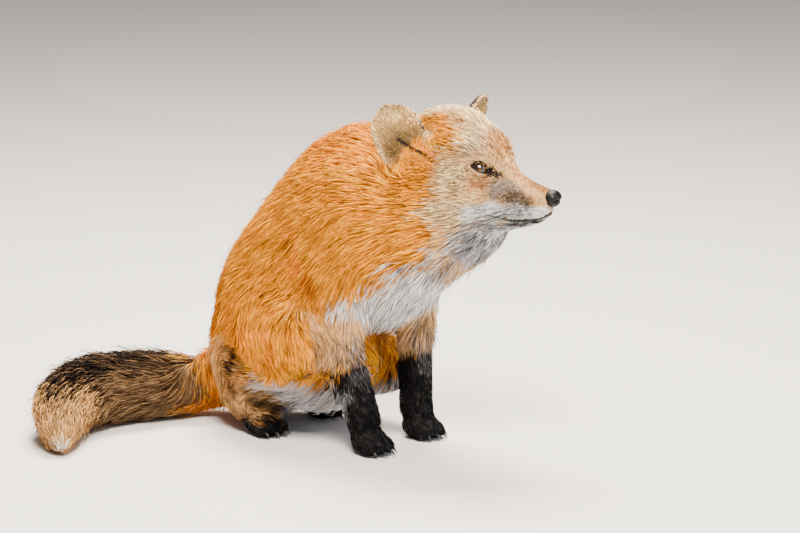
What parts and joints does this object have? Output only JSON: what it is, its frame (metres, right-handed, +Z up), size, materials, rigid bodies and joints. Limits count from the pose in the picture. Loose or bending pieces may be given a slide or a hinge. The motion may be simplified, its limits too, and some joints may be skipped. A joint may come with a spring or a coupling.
{
  "type": "red fox",
  "caption": "Life-size red fox figure crouched on its haunches, head turned a little left, bushy tail swept round to its right on the floor.",
  "frame": {"origin": "on the floor, under the middle of the box round the whole animal", "axes": "+X the way the fox faces, +Y its left, +Z up"},
  "size_m": [0.5456, 0.3594, 0.3828],
  "materials": {
    "coat_rust": "dense rust-coloured fur, long guard hairs lying along the body",
    "coat_amber": "bright amber fur of the neck and shoulders",
    "coat_cream": "short cream and grizzled fur",
    "coat_white": "soft white fur of the throat, chest and belly",
    "coat_smoke": "brown-grey fur with dark tips",
    "coat_black": "short black fur of the legs",
    "eye": "wet amber-brown eye with a clear gloss",
    "nose_leather": "bare black nose skin, finely pebbled and moist"
  },
  "bodies": {
    "root": {"nose": "nose_leather", "eye_right": "eye", "eye_left": "eye", "lower_jaw": "coat_white", "muzzle": "coat_cream", "head": "coat_cream", "ear_right": "coat_smoke", "ear_left": "coat_smoke", "forepaw_right": "coat_black", "forearm_right": "coat_black", "upper_arm_right": "coat_amber", "hind_paw_right": "coat_black", "hind_foot_right": "coat_smoke", "shank_right": "coat_cream", "thigh_right": "coat_rust", "forepaw_left": "coat_black", "forearm_left": "coat_black", "upper_arm_left": "coat_amber", "hind_paw_left": "coat_black", "hind_foot_left": "coat_smoke", "shank_left": "coat_cream", "thigh_left": "coat_rust", "neck": "coat_amber", "chest": "coat_amber", "loin": "coat_rust", "rump": "coat_rust", "belly": "coat_white", "tail_base": "coat_rust", "tail_middle": "coat_smoke", "tail_tip": "coat_cream"}
  },
  "joints": []
}
